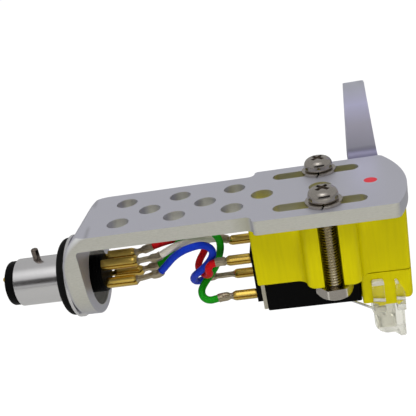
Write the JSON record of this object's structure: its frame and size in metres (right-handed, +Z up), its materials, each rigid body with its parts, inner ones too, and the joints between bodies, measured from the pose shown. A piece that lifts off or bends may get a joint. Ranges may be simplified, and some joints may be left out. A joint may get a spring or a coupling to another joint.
{
  "type": "phono cartridge in a headshell",
  "caption": "Moving-magnet phono cartridge bolted under a drilled bayonet headshell with a finger lift, coloured leads on its pins and a clear stylus guard.",
  "frame": {"origin": "on the plug's axis, at the flange face that the gasket seats on", "axes": "+X from the plug towards the stylus, +Y towards the finger lift, +Z up through the plate"},
  "size_m": [0.0667, 0.0268, 0.0382],
  "materials": {
    "headshell": "fine-grained silver anodising",
    "plug_sleeve": "satin nickel plate, turned",
    "locking_pin": "turned steel",
    "gasket": "matt black rubber",
    "insulator": "black moulded plastic",
    "contacts": "gold plated",
    "clips": "gold-plated sheet, rolled and crimped",
    "lead_white": "soft white insulation",
    "lead_red": "soft red insulation",
    "lead_green": "soft green insulation",
    "lead_blue": "soft blue insulation",
    "yellow_plastic": "satin moulded yellow plastic",
    "black_plastic": "black moulded plastic",
    "screen": "thin rolled sheet",
    "iron": "stamped soft magnetic alloy",
    "bobbin": "natural moulded plastic",
    "coil": "enamelled copper wire",
    "screws": "nickel-plated steel",
    "washers": "nickel-plated steel",
    "nuts": "nickel-plated steel",
    "tube": "drawn tube",
    "damper": "soft black rubber",
    "magnet": "sintered and plated",
    "cantilever": "drawn rod",
    "tip": "ground diamond",
    "clear_plastic": "clear moulded plastic"
  },
  "bodies": {
    "headshell": {"headshell": "headshell", "plug_sleeve": "plug_sleeve", "locking_pin": "locking_pin", "gasket": "gasket", "plug_insulator": "insulator", "contact_pin_far_top": "contacts", "contact_pin_far_bottom": "contacts", "contact_pin_near_top": "contacts", "contact_pin_near_bottom": "contacts", "rear_clip_white": "clips", "rear_clip_red": "clips", "rear_clip_green": "clips", "rear_clip_blue": "clips", "lead_white": "lead_white", "lead_red": "lead_red", "lead_green": "lead_green", "lead_blue": "lead_blue"},
    "cartridge": {"mount_body": "yellow_plastic", "generator_body": "black_plastic", "terminal_block": "black_plastic", "shield_plate": "screen", "cartridge_pin_far_top": "contacts", "cartridge_pin_far_bottom": "contacts", "cartridge_pin_near_top": "contacts", "cartridge_pin_near_bottom": "contacts", "front_clip_white": "clips", "front_clip_red": "clips", "front_clip_green": "clips", "front_clip_blue": "clips", "pole_piece_far": "iron", "pole_piece_near": "iron", "bobbin_far": "bobbin", "bobbin_near": "bobbin", "coil_far": "coil", "coil_near": "coil", "yoke": "iron", "screw_far": "screws", "screw_near": "screws", "washer_far": "washers", "washer_near": "washers", "nut_far": "nuts", "nut_near": "nuts"},
    "stylus": {"stylus_holder": "yellow_plastic", "stylus_tube": "tube", "damper": "damper"},
    "cantilever": {"cantilever": "cantilever", "magnet": "magnet", "stylus_tip": "tip"},
    "guard": {"stylus_guard": "clear_plastic"}
  },
  "joints": [
    {"name": "cartridge_slide", "type": "slide", "parent": "headshell", "child": "cartridge", "axis": [1, 0, 0], "range_m": [-0.005, 0], "deforming": ["lead_white", "lead_red", "lead_green", "lead_blue"]},
    {"name": "stylus_pull", "type": "slide", "parent": "cartridge", "child": "stylus", "axis": [0.866, 0, -0.5], "range_m": [0, 0.008]},
    {"name": "guard_pull", "type": "slide", "parent": "stylus", "child": "guard", "axis": [1, 0, 0], "range_m": [0, 0.009]},
    {"name": "cantilever_flex", "type": "hinge", "parent": "stylus", "child": "cantilever", "pos_m": [0.0409, 0, -0.00875], "axis": [0, 1, 0], "range_deg": [-2.5, 2.5], "stiffness_Nm_per_rad": 0.005}
  ]
}
